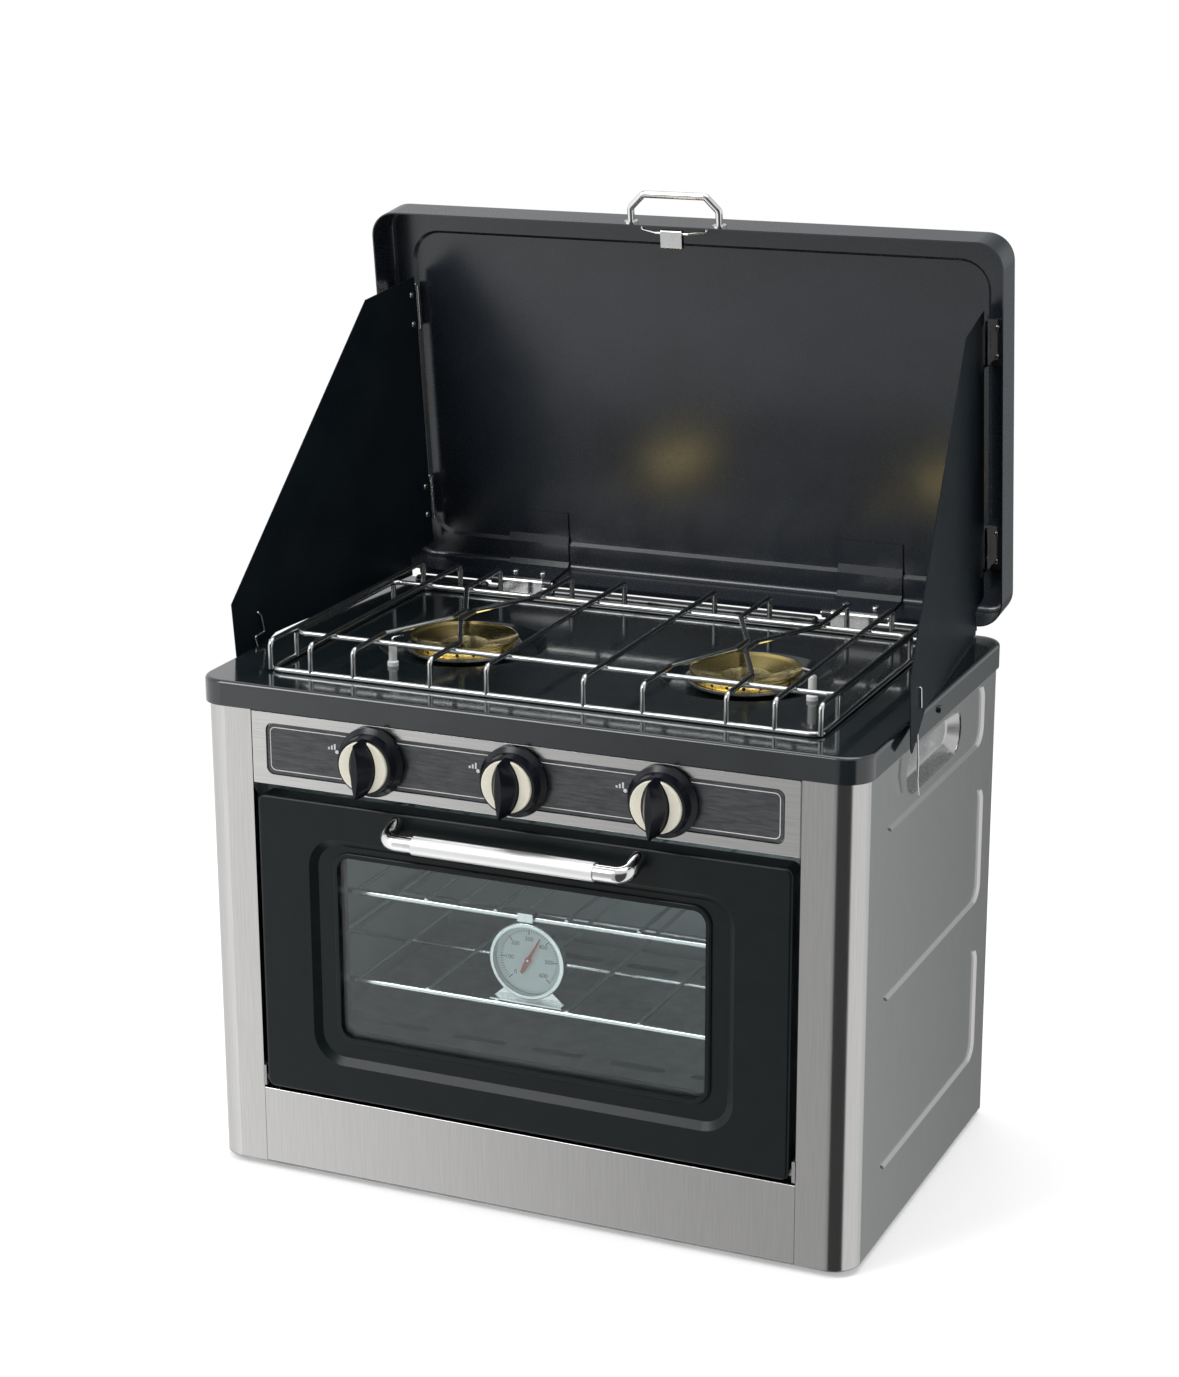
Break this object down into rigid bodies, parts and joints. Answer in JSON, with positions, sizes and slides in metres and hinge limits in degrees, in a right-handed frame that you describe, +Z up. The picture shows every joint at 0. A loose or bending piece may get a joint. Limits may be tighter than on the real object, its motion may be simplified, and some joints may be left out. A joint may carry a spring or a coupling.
{
  "type": "camping oven",
  "caption": "Tabletop camping gas oven with a two-burner hob, a glazed drop-down door, and an open lid with folding wind shields.",
  "frame": {"origin": "middle of the footprint, on the surface the feet stand on", "axes": "+X to the user's right, +Y from the door to the back, +Z up"},
  "size_m": [0.5282, 0.3862, 0.7111],
  "materials": {
    "stainless": "brushed upright",
    "stainless_fascia": "brushed lengthwise",
    "steel_cup": "satin",
    "galvanised": "dull",
    "rubber": "matt",
    "inlay": "satin black with fine grooves",
    "tray_enamel": "gloss enamel",
    "burner_steel": "cast, satin",
    "brass_cap": "spun",
    "brass": "machined",
    "ceramic": "glazed",
    "liner_steel": "dull",
    "chrome_wire": "bright",
    "thermometer_steel": "polished",
    "dial_white": "matt",
    "pointer_red": "satin",
    "clear_glass": "clear",
    "door_enamel": "satin enamel",
    "door_inner_enamel": "satin enamel",
    "tinted_glass": "grey tint",
    "gasket": "braided",
    "handle_steel": "satin",
    "chrome": "bright",
    "lid_enamel": "satin enamel",
    "shield_enamel": "satin enamel",
    "knob_black": "gloss",
    "knob_cream": "satin"
  },
  "bodies": {
    "cabinet": {"left_side_panel": "stainless", "right_side_panel": "stainless", "left_handle_cup": "steel_cup", "right_handle_cup": "steel_cup", "back_panel": "galvanised", "base_plate": "galvanised", "rubber_feet": "rubber", "kick_plate": "stainless", "control_fascia": "stainless_fascia", "fascia_inlay": "inlay", "hob_tray": "tray_enamel", "burner_bowls": "burner_steel", "burner_caps": "brass_cap", "burner_tubes": "burner_steel", "igniters": "ceramic", "gas_valves": "brass", "gas_manifold": "galvanised", "gas_inlet": "brass", "oven_liner": "liner_steel", "rack_runners": "liner_steel", "lower_rack": "chrome_wire", "upper_rack": "chrome_wire", "oven_burner": "burner_steel", "flame_plate": "liner_steel", "thermometer_case": "thermometer_steel", "thermometer_dial": "dial_white", "thermometer_glass": "clear_glass", "door_hinge_brackets": "galvanised", "tray_hinge_leaves": "chrome", "lid_hinge_pins": "chrome"},
    "door": {"door_outer_panel": "door_enamel", "door_inner_panel": "door_inner_enamel", "door_glass": "tinted_glass", "door_gasket": "gasket", "door_hinge_arms": "galvanised", "door_handle_grip": "handle_steel", "door_handle_brackets": "chrome"},
    "lid": {"lid_shell": "lid_enamel", "lid_hinge_straps": "lid_enamel", "lid_handle": "chrome", "latch_rod": "chrome", "shield_hinge_frames": "chrome"},
    "latch": {"lid_latch": "chrome"},
    "left_shield": {"left_wind_shield": "shield_enamel", "left_shield_leaves": "chrome"},
    "right_shield": {"right_wind_shield": "shield_enamel", "right_shield_leaves": "chrome"},
    "left_clip": {"left_wire_clip": "chrome_wire"},
    "right_clip": {"right_wire_clip": "chrome_wire"},
    "grate": {"pan_support": "chrome_wire"},
    "needle": {"thermometer_pointer": "pointer_red"},
    "left_knob": {"left_knob_grip": "knob_black", "left_knob_face": "knob_cream", "left_spindle": "brass"},
    "centre_knob": {"centre_knob_grip": "knob_black", "centre_knob_face": "knob_cream", "centre_spindle": "brass"},
    "right_knob": {"right_knob_grip": "knob_black", "right_knob_face": "knob_cream", "right_spindle": "brass"}
  },
  "joints": [
    {"name": "door_hinge", "type": "hinge", "parent": "cabinet", "child": "door", "pos_m": [0, -0.16012, 0.075], "axis": [1, 0, 0], "range_deg": [0, 90]},
    {"name": "lid_hinge", "type": "hinge", "parent": "cabinet", "child": "lid", "pos_m": [0, 0.15588, 0.391], "axis": [1, 0, 0], "range_deg": [-22, 0]},
    {"name": "latch_swing", "type": "hinge", "parent": "lid", "child": "latch", "pos_m": [0, 0.12592, 0.68047], "axis": [1, 0, 0], "range_deg": [-80, 0]},
    {"name": "right_shield_fold", "type": "hinge", "parent": "lid", "child": "right_shield", "pos_m": [0.232, 0.18718, 0.39457], "axis": [0, -0.1132, 0.9936], "range_deg": [0, 28]},
    {"name": "left_shield_fold", "type": "hinge", "parent": "lid", "child": "left_shield", "pos_m": [-0.232, 0.18718, 0.39457], "axis": [0, 0.1132, -0.9936], "range_deg": [0, 28]},
    {"name": "right_clip_swing", "type": "hinge", "parent": "right_shield", "child": "right_clip", "pos_m": [0.2603, -0.06441, 0.4085], "axis": [-0.9936, -0.1125, -0.0128], "range_deg": [0, 35]},
    {"name": "left_clip_swing", "type": "hinge", "parent": "left_shield", "child": "left_clip", "pos_m": [-0.2603, -0.06441, 0.4085], "axis": [-0.9936, 0.1125, 0.0128], "range_deg": [0, 35]},
    {"name": "grate_lift", "type": "slide", "parent": "cabinet", "child": "grate", "axis": [0, 0, 1], "range_m": [0, 0.06]},
    {"name": "needle_turn", "type": "hinge", "parent": "cabinet", "child": "needle", "pos_m": [-0.003, -0.13712, 0.193], "axis": [0, 1, 0], "range_deg": [-163, 107]},
    {"name": "left_knob_turn", "type": "hinge", "parent": "cabinet", "child": "left_knob", "pos_m": [-0.1125, -0.16312, 0.338], "axis": [0, -1, 0], "range_deg": [0, 210]},
    {"name": "centre_knob_turn", "type": "hinge", "parent": "cabinet", "child": "centre_knob", "pos_m": [0, -0.16312, 0.338], "axis": [0, -1, 0], "range_deg": [0, 210]},
    {"name": "right_knob_turn", "type": "hinge", "parent": "cabinet", "child": "right_knob", "pos_m": [0.1125, -0.16312, 0.338], "axis": [0, -1, 0], "range_deg": [0, 210]}
  ]
}
